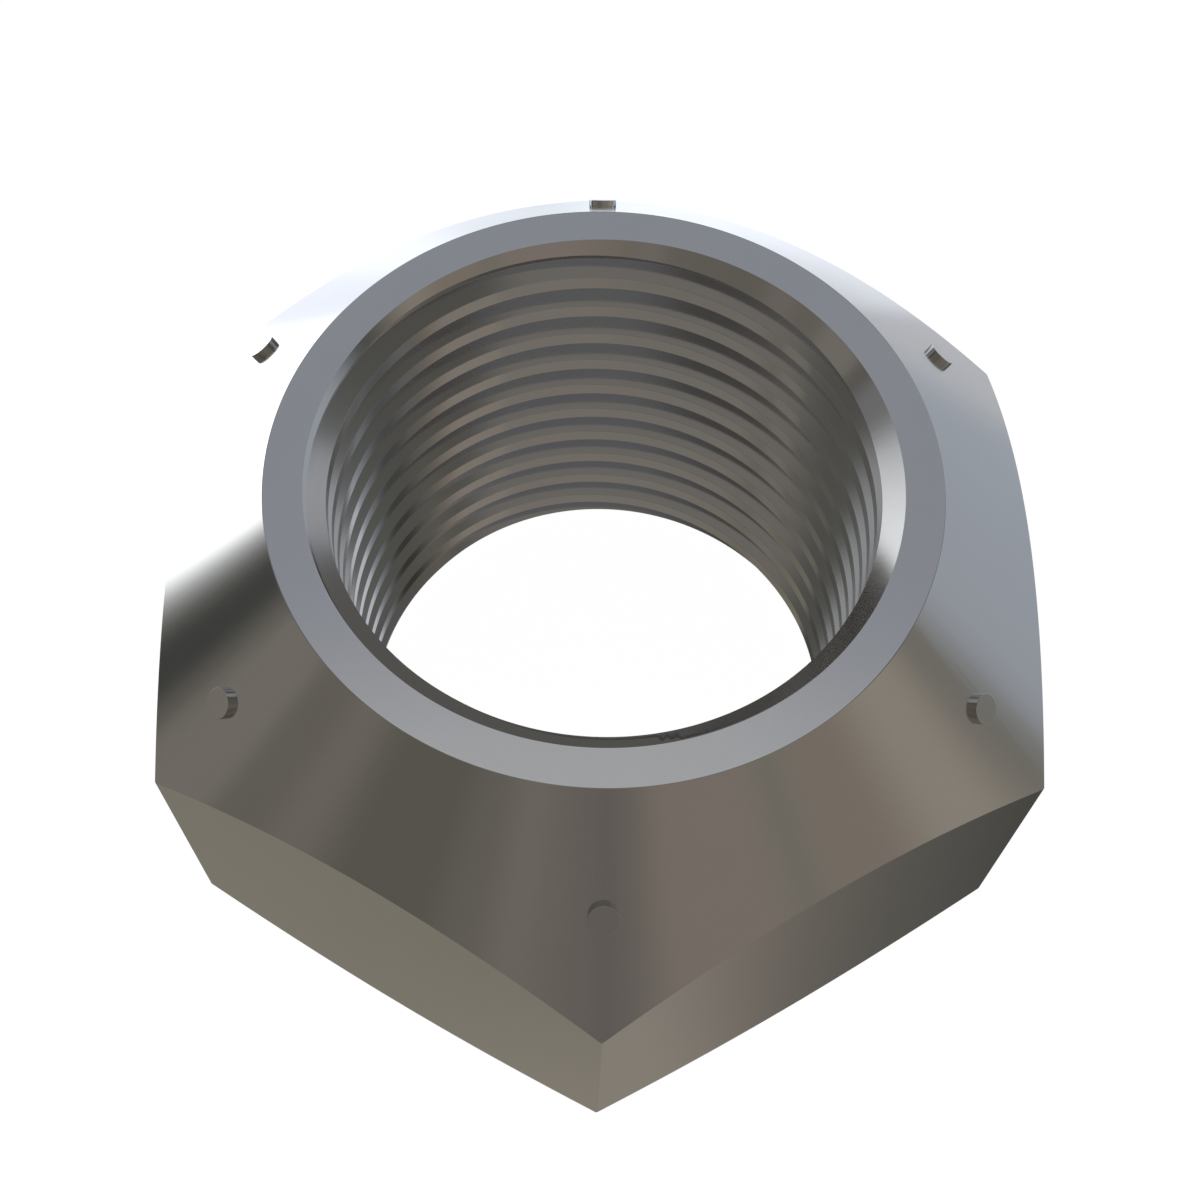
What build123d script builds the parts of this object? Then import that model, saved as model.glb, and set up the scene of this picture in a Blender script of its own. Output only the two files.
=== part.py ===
from build123d import *
import os
from math import cos, radians, sin, tan

# Hex lock nut, 7/8 inch with 14 threads to the inch, in millimetres.
# The origin is the middle of the bearing face, +Z runs up the thread axis to the conical top,
# and one corner of the hexagon points along -Y.
inch = 25.4

# Hexagon and height
across_flats = 1.3125 * inch
nut_height = 0.776 * inch
hexagon_sides = 6

# Conical top, and the flat ring left round the mouth of the hole
cone_slope = 45
top_ring_diameter = 25.0

# The corners of the underside are turned off outside the round bearing face
bearing_diameter = 32.5
corner_slope = 30

# Right-hand internal thread: a groove of 60 degree form with a flat root winds up the bore
thread_diameter = 0.875 * inch
threads_per_inch = 14
bore_diameter = 20.62
thread_angle = 60
root_flat_share = 1 / 8
groove_lead_in = 0.93

# Countersinks, at a slope from the end faces
mouth_clearance = 0.035
top_countersink_slope = 45
bottom_countersink_slope = 30

# Raised grade dots on the cone, one towards each corner, rooted below its surface
dot_diameter = 1.15
dot_height = 0.24
dot_circle_diameter = 31.7
dot_root = 0.3

# Sizes worked out from the values above
corner_angle = 360 / hexagon_sides
corner_radius = across_flats / 2 / cos(radians(corner_angle / 2))
stock_radius = 1.05 * corner_radius
corner_rise = (stock_radius - bearing_diameter / 2) * tan(radians(corner_slope))
cone_drop = (stock_radius - top_ring_diameter / 2) * tan(radians(cone_slope))
dot_drop = (dot_circle_diameter - top_ring_diameter) / 2 * tan(radians(cone_slope))
pitch = inch / threads_per_inch
thread_depth = (thread_diameter - bore_diameter) / 2
root_radius = thread_diameter / 2
root_half_width = root_flat_share * pitch / 2
tool_radius = bore_diameter / 2 - thread_depth / 4
tool_half_width = root_half_width + (root_radius - tool_radius) * tan(radians(thread_angle / 2))
bar_allowance = 2 * pitch
groove_start = -groove_lead_in * pitch
mouth_radius = (thread_diameter + mouth_clearance) / 2
mouth_step = mouth_radius - tool_radius

with BuildPart() as grade_dot:
    # Round pad square to the cone, above the corner that points along -Y
    dot_seat = Plane(
        origin=(0, -dot_circle_diameter / 2, nut_height - dot_drop),
        z_dir=(0, -sin(radians(cone_slope)), cos(radians(cone_slope))),
    )
    with BuildSketch(dot_seat.offset(-dot_root)):
        Circle(dot_diameter / 2)
    extrude(amount=dot_root + dot_height)

with BuildPart() as lock_nut:
    # Hexagonal bar with a bored hole, longer than the nut at both ends
    with BuildSketch(Plane.XY.offset(-bar_allowance)):
        RegularPolygon(across_flats / 2, hexagon_sides, major_radius=False, rotation=corner_angle / 2)
        Circle(bore_diameter / 2, mode=Mode.SUBTRACT)
    extrude(amount=nut_height + 2 * bar_allowance)

    # Thread: the groove's section follows a helix and runs out past both ends of the nut
    with BuildLine():
        groove_path = Helix(pitch, nut_height - 2 * groove_start, bore_diameter / 2, center=(0, 0, groove_start))
    with BuildSketch(Plane.XZ):
        with BuildLine():
            Polyline(
                (tool_radius, groove_start - tool_half_width),
                (root_radius, groove_start - root_half_width),
                (root_radius, groove_start + root_half_width),
                (tool_radius, groove_start + tool_half_width),
                close=True,
            )
        make_face()
    sweep(path=groove_path, is_frenet=True, mode=Mode.SUBTRACT)

    # Turned outline: bearing face, corner chamfer, cone, top ring and both countersinks
    with BuildSketch(Plane.XZ):
        with BuildLine():
            Polyline(
                (mouth_radius, 0),
                (bearing_diameter / 2, 0),
                (stock_radius, corner_rise),
                (stock_radius, nut_height - cone_drop),
                (top_ring_diameter / 2, nut_height),
                (mouth_radius, nut_height),
                (tool_radius, nut_height - mouth_step * tan(radians(top_countersink_slope))),
                (tool_radius, mouth_step * tan(radians(bottom_countersink_slope))),
                close=True,
            )
        make_face()
    revolve(axis=Axis.Z, mode=Mode.INTERSECT)

    # Grade dots towards the corners
    with PolarLocations(0, hexagon_sides):
        add(grade_dot.part)
lock_nut.part.label = "lock_nut"

os.makedirs("parts", exist_ok=True)
export_step(lock_nut.part, "parts/lock_nut.step")
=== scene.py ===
import bmesh
import bpy
import math
from mathutils import Euler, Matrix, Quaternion, Vector


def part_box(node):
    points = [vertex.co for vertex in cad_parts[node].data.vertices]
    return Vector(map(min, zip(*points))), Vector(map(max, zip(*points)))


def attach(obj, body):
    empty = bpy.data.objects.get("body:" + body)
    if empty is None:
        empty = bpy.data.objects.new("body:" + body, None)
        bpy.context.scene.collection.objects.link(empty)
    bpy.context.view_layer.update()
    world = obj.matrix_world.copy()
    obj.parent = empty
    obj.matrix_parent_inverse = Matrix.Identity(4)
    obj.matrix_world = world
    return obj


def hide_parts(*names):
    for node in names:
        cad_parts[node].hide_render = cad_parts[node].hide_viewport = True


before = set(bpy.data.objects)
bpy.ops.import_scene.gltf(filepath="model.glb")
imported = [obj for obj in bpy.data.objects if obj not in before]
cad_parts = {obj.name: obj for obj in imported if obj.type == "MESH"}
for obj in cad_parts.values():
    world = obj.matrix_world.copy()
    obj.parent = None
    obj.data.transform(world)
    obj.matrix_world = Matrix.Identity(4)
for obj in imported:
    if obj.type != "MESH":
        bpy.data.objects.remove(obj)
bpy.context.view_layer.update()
# the nut is modelled in millimetres and shrunk to metres at the end, and slopes are degrees from level
mm = 0.001
nutLow, nutHigh = (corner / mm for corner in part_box("lock_nut"))
print("frame loaded, nut", [round(side, 3) for side in nutHigh - nutLow], "mm")


# small helpers for modelling

def activate(piece):
    bpy.ops.object.select_all(action="DESELECT")
    piece.select_set(True)
    bpy.context.view_layer.objects.active = piece


def addPiece(name, addPrimitive, **settings):
    bpy.ops.object.select_all(action="DESELECT")
    addPrimitive(**settings)
    bpy.ops.object.transform_apply(location=True, rotation=True, scale=True)
    piece = bpy.context.object
    piece.name = name
    piece.data.name = name
    return piece


def openMesh(piece, kind="FACE"):
    activate(piece)
    bpy.ops.object.mode_set(mode="EDIT")
    bpy.ops.mesh.select_mode(type=kind)


def closeMesh():
    bpy.ops.object.mode_set(mode="OBJECT")


def pickEdges(piece, test):
    # selects the edges that pass the test, and nothing else
    mesh = bmesh.from_edit_mesh(piece.data)
    for item in (*mesh.faces, *mesh.edges, *mesh.verts):
        item.select = False
    for edge in mesh.edges:
        if test(edge):
            edge.select_set(True)
    bmesh.update_edit_mesh(piece.data)


def edgeIsAt(edge, radius, height, reach=1e-3):
    return all(abs(v.co.xy.length - radius) < reach and abs(v.co.z - height) < reach for v in edge.verts)


def raiseFaces(rise, grow=1.0):
    # the selected faces go straight up and the new ones are made wider or narrower
    bpy.ops.mesh.extrude_region_move(TRANSFORM_OT_translate={"value": (0, 0, rise)})
    bpy.ops.transform.resize(value=(grow, grow, 1), center_override=(0, 0, 0))


def turnOutwards():
    bpy.ops.mesh.select_all(action="SELECT")
    bpy.ops.mesh.normals_make_consistent(inside=False)


def useModifier(piece, kind, **settings):
    activate(piece)
    modifier = piece.modifiers.new(kind.lower(), kind)
    for name, value in settings.items():
        setattr(modifier, name, value)
    bpy.ops.object.modifier_apply(modifier=modifier.name)


def combine(piece, tool, operation):
    # the tool is used up
    useModifier(piece, "BOOLEAN", object=tool, operation=operation, solver="EXACT")
    bpy.data.objects.remove(tool)


# the nut's outside

nut = {
    "corners": 6,
    "cornerRadius": nutHigh.y,
    "height": nutHigh.z,
    "turnSteps": 360,  # straight pieces in a turned circle
    "bearingRadius": 16.25,
    "cornerSlope": 30,  # chamfer at the bearing face
    "ringRadius": 12.5,  # rim of the flat ring on top
    "coneSlope": 45,
    "stockShare": 1.05,  # the turned outline is a little wider than the corners
    "cornerBreak": 0.05,
    "ringBreak": 0.02,
    "breakSteps": 2,
    "smoothAngle": 28,  # edges flatter than this are shaded smooth
    "spare": 1.0,  # how far bar and cutters reach past the finished nut
}


def makeOutside():
    height, spare = nut["height"], nut["spare"]
    bar = addPiece(
        "hex_nut", bpy.ops.mesh.primitive_cylinder_add, vertices=nut["corners"], radius=nut["cornerRadius"],
        depth=height + 2 * spare, location=(0, 0, height / 2),
    )
    openMesh(bar, "EDGE")
    pickEdges(bar, lambda edge: abs(edge.verts[0].co.z - edge.verts[1].co.z) > height)
    bpy.ops.mesh.bevel(offset=nut["cornerBreak"], segments=nut["breakSteps"], affect="EDGES")
    closeMesh()

    # turned outline, from the bearing face up to the ring
    stock = nut["stockShare"] * nut["cornerRadius"]
    chamferRise = (stock - nut["bearingRadius"]) * math.tan(math.radians(nut["cornerSlope"]))
    coneDrop = (stock - nut["ringRadius"]) * math.tan(math.radians(nut["coneSlope"]))
    turned = addPiece(
        "turned_outline", bpy.ops.mesh.primitive_circle_add, vertices=nut["turnSteps"],
        radius=nut["bearingRadius"], fill_type="NGON", rotation=(0, 0, math.pi / nut["turnSteps"]),
    )
    openMesh(turned)
    bpy.ops.mesh.select_all(action="SELECT")
    raiseFaces(chamferRise, stock / nut["bearingRadius"])
    raiseFaces(height - chamferRise - coneDrop)
    raiseFaces(coneDrop, nut["ringRadius"] / stock)
    bpy.ops.mesh.select_mode(type="EDGE")
    pickEdges(turned, lambda edge: edgeIsAt(edge, nut["ringRadius"], height))
    bpy.ops.mesh.bevel(offset=nut["ringBreak"], segments=nut["breakSteps"], affect="EDGES")
    turnOutwards()
    closeMesh()
    combine(bar, turned, "INTERSECT")
    print("outside turned,", len(bar.data.polygons), "faces")
    return bar


# grade dots on the cone, one towards each corner

dots = {
    "radius": 0.575,
    "height": 0.24,
    "root": 0.3,  # depth inside the cone
    "circleRadius": 15.85,
    "steps": 48,
    "edgeBreak": 0.02,
}


def addDots(body):
    slope = math.radians(nut["coneSlope"])
    drop = (dots["circleRadius"] - nut["ringRadius"]) * math.tan(slope)
    seat = Vector((0, -dots["circleRadius"], nut["height"] - drop))
    outward = Vector((0, -math.sin(slope), math.cos(slope)))
    first = addPiece(
        "grade_dot", bpy.ops.mesh.primitive_cylinder_add, vertices=dots["steps"], radius=dots["radius"],
        depth=dots["height"] + dots["root"], rotation=(slope, 0, 0),
        location=seat + outward * (dots["height"] - dots["root"]) / 2,
    )
    openMesh(first, "EDGE")
    top = (seat + outward * dots["height"]).dot(outward)
    pickEdges(first, lambda edge: all(v.co.dot(outward) > top - dots["edgeBreak"] for v in edge.verts))
    bpy.ops.mesh.bevel(offset=dots["edgeBreak"], segments=nut["breakSteps"], affect="EDGES")
    closeMesh()
    for corner in range(nut["corners"]):
        dot = first.copy()
        dot.data = first.data.copy()
        bpy.context.collection.objects.link(dot)
        dot.data.transform(Euler((0, 0, math.tau * corner / nut["corners"])).to_matrix().to_4x4())
        combine(body, dot, "UNION")
    bpy.data.objects.remove(first)
    print("dots on,", len(body.data.polygons), "faces")


# hole: countersinks and the thread

thread = {
    "pitch": 25.4 / 14,  # 14 threads to the inch
    "rootRadius": 11.03,
    "crestRadius": 10.31,
    "flankSlope": 25,
    "openShare": 0.636,  # share of the pitch that the groove takes at the crests
    "leadIn": 0.88,  # towards +X a groove's middle lies this many pitches below the bearing face
    "spareTurns": 2,  # turns of the tap past each end of the nut
    "edgeRound": 0.02,
    "roundSteps": 3,
    "stepsPerTurn": 192,
    "weld": 1e-4,  # points closer than this become one
    "topMouth": 11.043,  # radius of each countersink at its face
    "topSlope": 45,
    "bottomMouth": 10.89,
    "bottomSlope": 30,
}


def roundedCorner(before, corner, after):
    # points of a small arc that takes the place of a sharp corner of the profile
    toBefore, toAfter = (before - corner).normalized(), (after - corner).normalized()
    half = toBefore.angle(toAfter) / 2
    reach = thread["edgeRound"] / math.tan(half)
    middle = corner + (toBefore + toAfter).normalized() * thread["edgeRound"] / math.sin(half)
    start, end = (corner + toward * reach - middle for toward in (toBefore, toAfter))
    steps = thread["roundSteps"]
    turns = [start.normalized().slerp(end.normalized(), step / steps) for step in range(steps + 1)]
    return [middle + turn * thread["edgeRound"] for turn in turns]


def toothOutline():
    # one pitch of the tap, from the middle of a land to the middle of the next
    pitch, crest, root = thread["pitch"], thread["crestRadius"], thread["rootRadius"]
    openHalf = thread["openShare"] * pitch / 2
    rootHalf = openHalf - (root - crest) * math.tan(math.radians(thread["flankSlope"]))
    below = [(crest, -pitch / 2), (crest, -openHalf), (root, -rootHalf)]
    above = [(radius, -z) for radius, z in reversed(below)]
    sharp = [Vector((radius, 0, z)) for radius, z in below + above]
    outline = [sharp[0]]
    for before, corner, after in zip(sharp, sharp[1:], sharp[2:]):
        outline += roundedCorner(before, corner, after)
    return outline + [sharp[-1]]


def makeTap():
    pitch, height, weld = thread["pitch"], nut["height"], thread["weld"]
    turns = math.ceil(height / pitch) + 2 * thread["spareTurns"]
    start = Vector((0, 0, -(thread["leadIn"] + thread["spareTurns"] - 1) * pitch))
    outline = [start + point for point in toothOutline()]
    # a small plane is merged to one point, which is then drawn along the outline
    tap = addPiece("tap", bpy.ops.mesh.primitive_plane_add, size=pitch / 4, location=outline[0])
    openMesh(tap, "VERT")
    bpy.ops.mesh.select_all(action="SELECT")
    bpy.ops.mesh.merge(type="CENTER")
    for here, there in zip(outline, outline[1:]):
        bpy.ops.mesh.extrude_vertices_move(TRANSFORM_OT_translate={"value": there - here})
    closeMesh()
    useModifier(
        tap, "SCREW", axis="Z", angle=math.tau, screw_offset=pitch, iterations=turns,
        steps=thread["stepsPerTurn"], render_steps=thread["stepsPerTurn"], use_merge_vertices=False,
    )
    openMesh(tap, "VERT")
    bpy.ops.mesh.select_all(action="SELECT")
    bpy.ops.mesh.remove_doubles(threshold=weld)
    for z, direction in ((-pitch / 2, -1), (height + pitch / 2, 1)):
        bpy.ops.mesh.select_all(action="SELECT")
        bpy.ops.mesh.bisect(
            plane_co=(0, 0, z), plane_no=(0, 0, direction), use_fill=True, clear_outer=True, threshold=weld,
        )
    turnOutwards()
    closeMesh()
    print("tap made,", len(tap.data.polygons), "faces")
    return tap


def cutHole(body):
    combine(body, makeTap(), "DIFFERENCE")
    spare = nut["spare"]
    tip = thread["crestRadius"] - spare
    for name, mouth, slope, z, up in (
        ("top_sink", thread["topMouth"], thread["topSlope"], nut["height"], 1),
        ("bottom_sink", thread["bottomMouth"], thread["bottomSlope"], 0, -1),
    ):
        rise = math.tan(math.radians(slope))
        wide = mouth + spare
        depth = (wide - tip) * rise
        sink = addPiece(
            name, bpy.ops.mesh.primitive_cone_add, vertices=nut["turnSteps"], depth=depth,
            radius1=tip if up > 0 else wide, radius2=wide if up > 0 else tip,
            location=(0, 0, z + up * (spare * rise - depth / 2)),
        )
        combine(body, sink, "DIFFERENCE")
    print("hole threaded and countersunk,", len(body.data.polygons), "faces")


# shader tools

class Wire:
    # one output socket; an expression on wires and numbers adds its Math nodes
    def __init__(self, socket):
        self.socket = socket

    def __add__(self, other):
        return maths("ADD", self, other)

    def __radd__(self, other):
        return maths("ADD", other, self)

    def __sub__(self, other):
        return maths("SUBTRACT", self, other)

    def __rsub__(self, other):
        return maths("SUBTRACT", other, self)

    def __mul__(self, other):
        return maths("MULTIPLY", self, other)

    def __rmul__(self, other):
        return maths("MULTIPLY", other, self)

    def __pow__(self, other):
        return maths("POWER", self, other)

    def __rpow__(self, other):
        return maths("POWER", other, self)

    def __gt__(self, other):
        return maths("GREATER_THAN", self, other)

    def __lt__(self, other):
        return maths("LESS_THAN", self, other)

    def __abs__(self):
        return maths("ABSOLUTE", self)


def setInput(node, name, value):
    if isinstance(value, Wire):
        node.id_data.links.new(value.socket, node.inputs[name])
    else:
        node.inputs[name].default_value = value


def addNode(tree, kind, settings=None, inputs=None, output=0):
    node = tree.nodes.new(kind)
    for name, value in (settings or {}).items():
        setattr(node, name, value)
    for name, value in (inputs or {}).items():
        setInput(node, name, value)
    return Wire(node.outputs[output])


def maths(operation, *values):
    tree = next(value.socket.id_data for value in values if isinstance(value, Wire))
    return addNode(tree, "ShaderNodeMath", {"operation": operation}, dict(enumerate(values)))


def vectorMaths(tree, operation, vector, name, value):
    return addNode(tree, "ShaderNodeVectorMath", {"operation": operation}, {0: vector, name: value})


def splitVector(tree, vector):
    return [addNode(tree, "ShaderNodeSeparateXYZ", None, {0: vector}, axis) for axis in range(3)]


def mixColours(tree, share, first, second):
    return addNode(tree, "ShaderNodeMix", {"data_type": "RGBA"}, {0: share, 6: first, 7: second}, 2)


def mixShaders(tree, share, first, second):
    return addNode(tree, "ShaderNodeMixShader", None, {0: share, 1: first, 2: second})


def softStep(tree, value, inside, outside):
    # 1 up to inside, 0 past outside
    return addNode(
        tree, "ShaderNodeMapRange", {"interpolation_type": "SMOOTHSTEP"},
        {"Value": value, "From Min": inside, "From Max": outside, "To Min": 1.0, "To Max": 0.0},
    )


# steel: turned on the cone, the ring and in the hole, drawn along the flats

steel = {
    "colour": (0.56, 0.55, 0.53, 1),
    "darkColour": (0.53, 0.52, 0.50, 1),
    "speckColour": (0.60, 0.59, 0.57, 1),
    "speckShare": 0.35,
    "roughness": 0.13,
    "cloudSize": 4.0,
    "cloudDetail": 4.0,
    "cloudRoughness": 0.04,
    "grainSize": 0.12,
    "grainHeight": 0.00004,
    "toolMarkStep": 0.09,
    "toolMarkHeight": 0.0003,
    "toolMarkRoughness": 0.05,
    "drawnLineStep": 0.05,
    "drawnLineSquash": 0.02,  # the lines are 50 times longer than they are wide
    "flatMargin": 0.02,  # the lines stop this far inside the edges of a flat
}


def steelMarks(tree, place):
    # tool marks run round the axis, and lines from the drawn bar run up the flats
    x, y, z = splitVector(tree, place)
    radius = maths("SQRT", x * x + y * y)
    toolMarks = addNode(
        tree, "ShaderNodeTexNoise", {"noise_dimensions": "1D"},
        {"W": radius - z, "Scale": 1 / steel["toolMarkStep"]},
    )
    squashed = vectorMaths(tree, "MULTIPLY", place, 1, (1, 1, steel["drawnLineSquash"]))
    drawnLines = addNode(
        tree, "ShaderNodeTexNoise", None, {"Vector": squashed, "Scale": 1 / steel["drawnLineStep"]},
    )
    chamfer = (radius - nut["bearingRadius"]) * math.tan(math.radians(nut["cornerSlope"]))
    cone = nut["height"] - (radius - nut["ringRadius"]) * math.tan(math.radians(nut["coneSlope"]))
    margin = steel["flatMargin"]
    onFlat = (radius > nut["bearingRadius"]) * (z > chamfer + margin) * (z < cone - margin)
    return onFlat * drawnLines + (1 - onFlat) * toolMarks


def makeSteel():
    material = bpy.data.materials.new("turned_steel")
    material.use_nodes = True
    tree = material.node_tree
    place = addNode(tree, "ShaderNodeTexCoord", output="Object")
    place = vectorMaths(tree, "SCALE", place, "Scale", 1 / mm)
    cloud = addNode(
        tree, "ShaderNodeTexNoise", None,
        {"Vector": place, "Scale": 1 / steel["cloudSize"], "Detail": steel["cloudDetail"]},
    )
    grain = addNode(tree, "ShaderNodeTexNoise", None, {"Vector": place, "Scale": 1 / steel["grainSize"]})
    marks = steelMarks(tree, place)

    colour = mixColours(tree, cloud, steel["colour"], steel["darkColour"])
    colour = mixColours(tree, grain * steel["speckShare"], colour, steel["speckColour"])
    roughness = steel["roughness"] + steel["cloudRoughness"] * (cloud - 0.5)
    roughness = roughness + steel["toolMarkRoughness"] * (marks - 0.5)
    height = marks * steel["toolMarkHeight"] + grain * steel["grainHeight"]
    bump = addNode(tree, "ShaderNodeBump", None, {"Height": height, "Distance": mm, "Strength": 1.0})
    shader = tree.nodes["Principled BSDF"]
    for name, value in (
        ("Base Color", colour), ("Metallic", 1.0), ("Roughness", roughness), ("Normal", bump),
    ):
        setInput(shader, name, value)
    print("steel made,", len(tree.nodes), "nodes")
    return material


# studio: what the polished steel sees round it, as soft areas by compass direction and height, in degrees
# azimuth 0 is behind the nut, 90 to its right and 180 towards the camera

studio = {
    "room": (0.125, 0.125, 0.115),
    "areas": [
        # name, azimuth, half width, blur, lowest, highest, blur, colour
        ("back_wall", 49.5, 42.5, 9.5, -62, 35, 19.5, (0.49, 0.54, 0.62)),
        ("front_wall", 193, 80, 15, -100, 100, 5, (0.205, 0.19, 0.17)),
        ("front_right_wall", 139.5, 45.5, 18.5, -100, 59, 2, (0.31, 0.27, 0.235)),
        ("front_ceiling", 191.5, 85.5, 8.5, 55, 100, 2, (0.24, 0.23, 0.22)),
        ("front_floor", 185.5, 64.5, 9, -100, -45, 16, (0.28, 0.26, 0.24)),
        ("front_right_floor", 122, 13, 2, -100, -47.5, 7.5, (0.33, 0.3, 0.265)),
        ("left_shadow", -75.5, 43, 9, -100, -59.5, 5.5, (0.05, 0.05, 0.055)),
        ("left_floor", -93.5, 40, 5.5, -100, -58, 3, (0.26, 0.245, 0.2)),
        ("window", -38, 31.5, 6.5, -36, 23, 13, (1.42, 1.47, 1.55)),
        ("window_pane_1", -59.5, 8, 4, -20, -1, 4, (2.6, 2.7, 2.8)),
        ("window_pane_2", -49, 8, 4, -28, -11, 4, (2.6, 2.7, 2.8)),
        ("window_pane_3", -36, 9, 4, -34, -17, 4, (2.5, 2.6, 2.7)),
        ("window_pane_4", -21, 9, 5, -42, -25, 5, (1.18, 1.25, 1.42)),
        ("window_glow", -58, 24, 3, 13, 37.5, 15, (0.27, 0.275, 0.295)),
        ("low_floor", 1.5, 180.5, 5, -100, -76, 2, (0.31, 0.28, 0.24)),
        ("right_floor", 22, 21.5, 3.5, -72, -24.5, 2, (0.63, 0.65, 0.7)),
        ("back_floor", 3.5, 22, 2, -45, -38.5, 18.5, (1.5, 1.6, 1.76)),
        ("back_shadow", 7, 27, 2, -4, 34.5, 4, (0.145, 0.14, 0.135)),
        ("right_shadow", 73.5, 19.5, 17, -76, -47, 16, (0.035, 0.032, 0.018)),
        ("top_light", 2, 36, 10, 32.5, 85, 3, (0.4, 0.43, 0.5)),
        ("top_glow", 0, 40, 10, 63, 78, 3.5, (0.63, 0.65, 0.69)),
        ("window_top", -52, 10, 4, 36, 50, 5, (0.45, 0.47, 0.5)),
        ("back_top", 41, 10, 3, 33, 43, 3, (0.5, 0.52, 0.57)),
        ("left_post", -80.5, 4, 2, -44, 6, 3.5, (0.07, 0.075, 0.07)),
        ("left_strip", -95.5, 7, 2, -58.5, 43.5, 21.5, (0.275, 0.255, 0.235)),
        ("left_curtain", -118, 4, 3.5, -40, 49.5, 7.5, (0.25, 0.225, 0.21)),
        ("left_shade", -138.5, 11.5, 5, -43, 34, 10, (0.165, 0.155, 0.135)),
        ("front_curtain", -165, 4.5, 4.5, -40, 48.5, 7.5, (0.26, 0.235, 0.215)),
        ("front_gap", 178, 5, 11, -40, 34.5, 6, (0.165, 0.155, 0.155)),
        ("right_curtain", 155.5, 11.5, 3.5, -40, 48, 8, (0.31, 0.27, 0.24)),
        ("right_fold", 139, 4, 3.5, -40, 44, 6, (0.265, 0.25, 0.22)),
        ("right_strip", 106, 9, 7.5, -40, 42, 7.5, (0.42, 0.38, 0.33)),
        ("right_post", 92, 3, 3.5, -44, 17.5, 5.5, (0.255, 0.245, 0.22)),
        ("right_corner", 92, 10.5, 15.5, 20.5, 46, 8.5, (0.06, 0.075, 0.075)),
    ],
    "crevice": (0.095, 0.095, 0.10),
    "creviceAreas": [
        ("from_front_right", 130, 25, 15, -100, 100, 5, (0.25, 0.235, 0.23)),
        ("from_back", -25, 58, 22, -100, 100, 5, (0.17, 0.183, 0.212)),
        ("from_front", 168, 40, 22, -100, 100, 5, (0.16, 0.167, 0.19)),
    ],
    "creviceGain": 1.8,  # this many times brighter with each further reflection
    "creviceReach": 6,  # reflections past this many add nothing
    "dotLowest": -14.3,  # light from the sides of the dots leaves above this
    "bounces": 12,  # reflections that are followed between the threads
}


def mixAreas(tree, azimuth, elevation, colour, areas):
    for name, *angles, shade in areas:
        centre, half, blur, lowest, highest, rise = map(math.radians, angles)
        across = maths("PINGPONG", azimuth - centre, math.pi)
        along = abs(elevation - (lowest + highest) / 2)
        tall = (highest - lowest) / 2
        inside = softStep(tree, across, half - blur, half + blur)
        level = softStep(tree, along, tall - rise, tall + rise)
        colour = mixColours(tree, inside * level, colour, (*shade, 1))
        colour.socket.node.label = name
    return colour


def makeStudio():
    scene = bpy.context.scene
    scene.world = scene.world or bpy.data.worlds.new("studio")
    scene.world.use_nodes = True
    tree = scene.world.node_tree
    x, y, z = splitVector(tree, addNode(tree, "ShaderNodeTexCoord"))
    azimuth = maths("ARCTAN2", x, y)
    elevation = maths("ARCSINE", z)
    room = mixAreas(tree, azimuth, elevation, (*studio["room"], 1), studio["areas"])

    # light that the steel reflects more than once comes from between the threads, where it is even and soft
    # light from the sides of the dots, reflected twice and leaving higher up, still shows the room
    reflections = addNode(tree, "ShaderNodeLightPath", output="Glossy Depth")
    crevice = mixAreas(tree, azimuth, elevation, (*studio["crevice"], 1), studio["creviceAreas"])
    steps = maths("MINIMUM", reflections, studio["creviceReach"]) - 1
    crevice = vectorMaths(tree, "SCALE", crevice, "Scale", studio["creviceGain"] ** steps)
    fromDot = (reflections < 3) * (elevation > math.radians(studio["dotLowest"]))
    fromThread = (reflections > 1) * (1 - fromDot)

    # the camera sees white, and each ray works out only the light that it meets
    roomLight, creviceLight, white = (
        addNode(tree, "ShaderNodeBackground", None, {"Color": colour})
        for colour in (room, crevice, (1, 1, 1, 1))
    )
    light = mixShaders(tree, fromThread, roomLight, creviceLight)
    light = mixShaders(tree, addNode(tree, "ShaderNodeLightPath", output="Is Camera Ray"), light, white)
    setInput(tree.nodes["World Output"], "Surface", light)
    scene.world.cycles.sampling_method = "NONE"
    scene.cycles.glossy_bounces = studio["bounces"]
    scene.cycles.min_light_bounces = studio["bounces"]
    print("studio set,", len(tree.nodes), "nodes")


# floor, which the camera sees nearly white

floor = {
    "size": 4000,
    "gap": 0.05,
    "colour": (0.6, 0.6, 0.6, 1),
    "roughness": 0.9,
    "whiteShare": 0.85,  # how much of what the camera sees is plain white, and not lit
    "white": 1.16,
}


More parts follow.
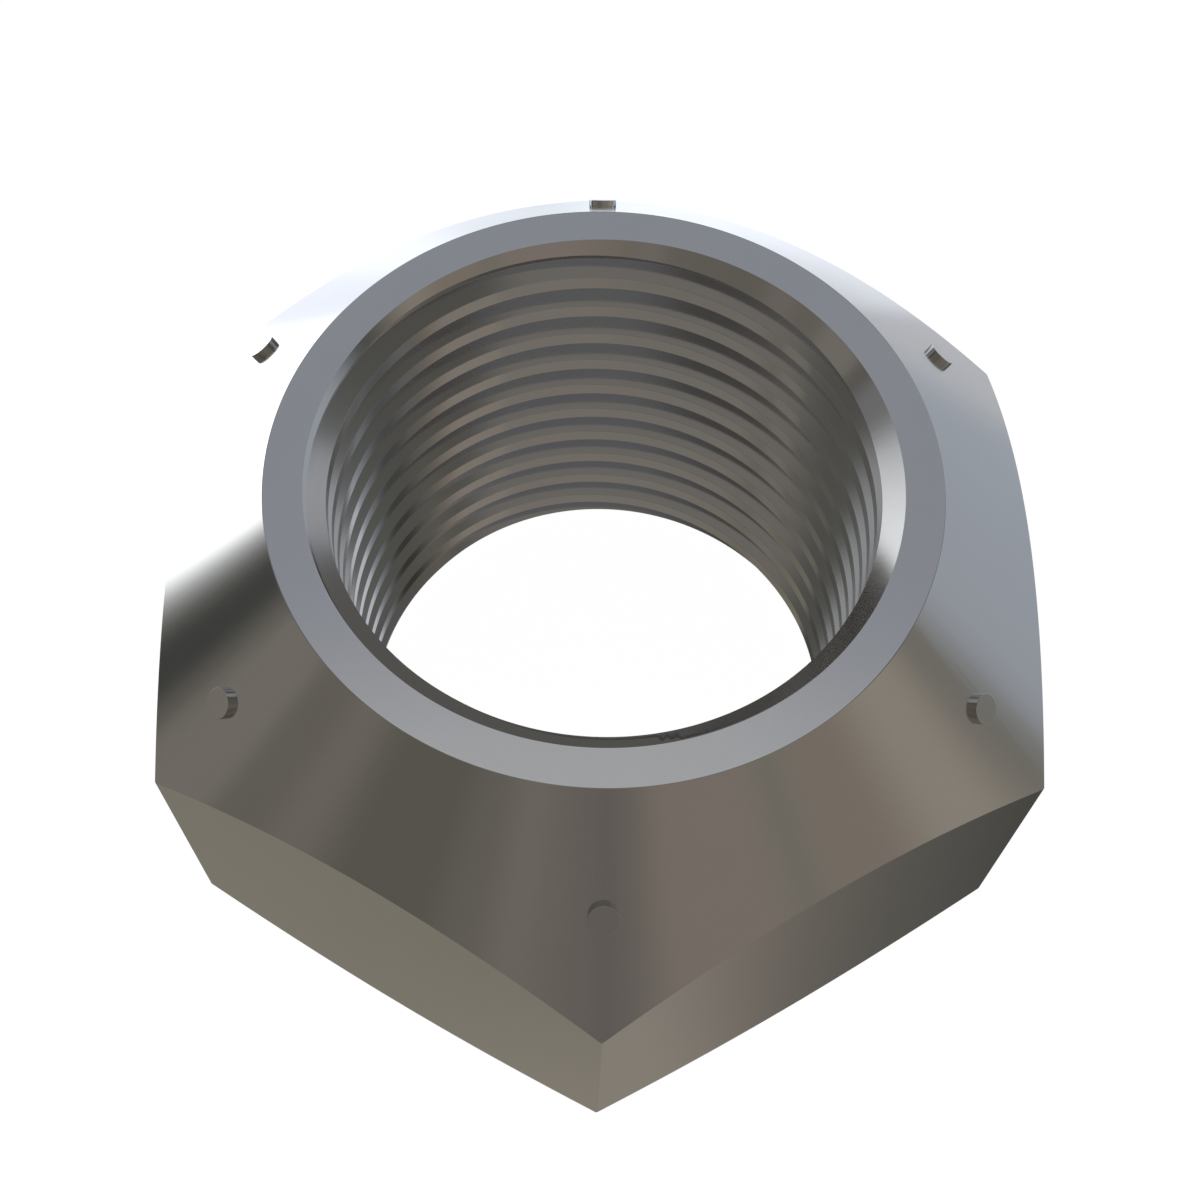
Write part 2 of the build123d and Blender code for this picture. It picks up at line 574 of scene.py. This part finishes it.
def makeFloor():
    plate = addPiece(
        "floor", bpy.ops.mesh.primitive_plane_add, size=floor["size"] * mm,
        location=(0, 0, -floor["gap"] * mm),
    )
    material = bpy.data.materials.new("pale_floor")
    material.use_nodes = True
    tree = material.node_tree
    shader = tree.nodes["Principled BSDF"]
    setInput(shader, "Base Color", floor["colour"])
    setInput(shader, "Roughness", floor["roughness"])
    glow = addNode(tree, "ShaderNodeEmission", None, {"Color": (1, 1, 1, 1), "Strength": floor["white"]})
    share = addNode(tree, "ShaderNodeLightPath", output="Is Camera Ray") * floor["whiteShare"]
    mixed = mixShaders(tree, share, Wire(shader.outputs[0]), glow)
    setInput(tree.nodes["Material Output"], "Surface", mixed)
    plate.data.materials.append(material)
    plate.visible_glossy = False  # the steel mirrors the studio below the horizon, not the floor
    print("floor laid")


# camera, at the photo's angle

view = {
    "lookHeight": 9.93,
    "distance": 69.70,
    "azimuth": 1.9156,
    "elevation": 61.161,
    "roll": 2.179,
    "lens": 49.955,
    "sensor": 36,
    "nearest": 1,
}


def makeCamera():
    data = bpy.data.cameras.new("camera")
    camera = bpy.data.objects.new("camera", data)
    bpy.context.collection.objects.link(camera)
    azimuth, elevation = math.radians(view["azimuth"]), math.radians(view["elevation"])
    level = math.cos(elevation)
    forward = Vector((math.sin(azimuth) * level, math.cos(azimuth) * level, -math.sin(elevation)))
    turn = forward.to_track_quat("-Z", "Y") @ Quaternion((0, 0, 1), math.radians(view["roll"]))
    camera.location = (Vector((0, 0, view["lookHeight"])) - forward * view["distance"]) * mm
    camera.rotation_mode = "QUATERNION"
    camera.rotation_quaternion = turn
    data.sensor_width = view["sensor"]
    data.lens = view["lens"]
    data.clip_start = view["nearest"] * mm
    bpy.context.scene.camera = camera
    print("camera placed")


def finishNut(body):
    openMesh(body)
    turnOutwards()
    closeMesh()
    bpy.ops.object.shade_smooth_by_angle(angle=math.radians(nut["smoothAngle"]))
    # the largest face beside a point decides how it is shaded, so the flats and the ring stay even
    useModifier(body, "WEIGHTED_NORMAL", keep_sharp=True, weight=100)
    bpy.ops.transform.resize(value=(mm, mm, mm), center_override=(0, 0, 0))
    bpy.ops.object.transform_apply(location=True, rotation=True, scale=True)
    body.data.materials.clear()
    body.data.materials.append(makeSteel())
    print("nut finished")


body = makeOutside()
addDots(body)
cutHole(body)
finishNut(body)
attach(body, "root")
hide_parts("lock_nut")

makeStudio()
makeFloor()
makeCamera()
bpy.context.scene.view_settings.view_transform = "Standard"
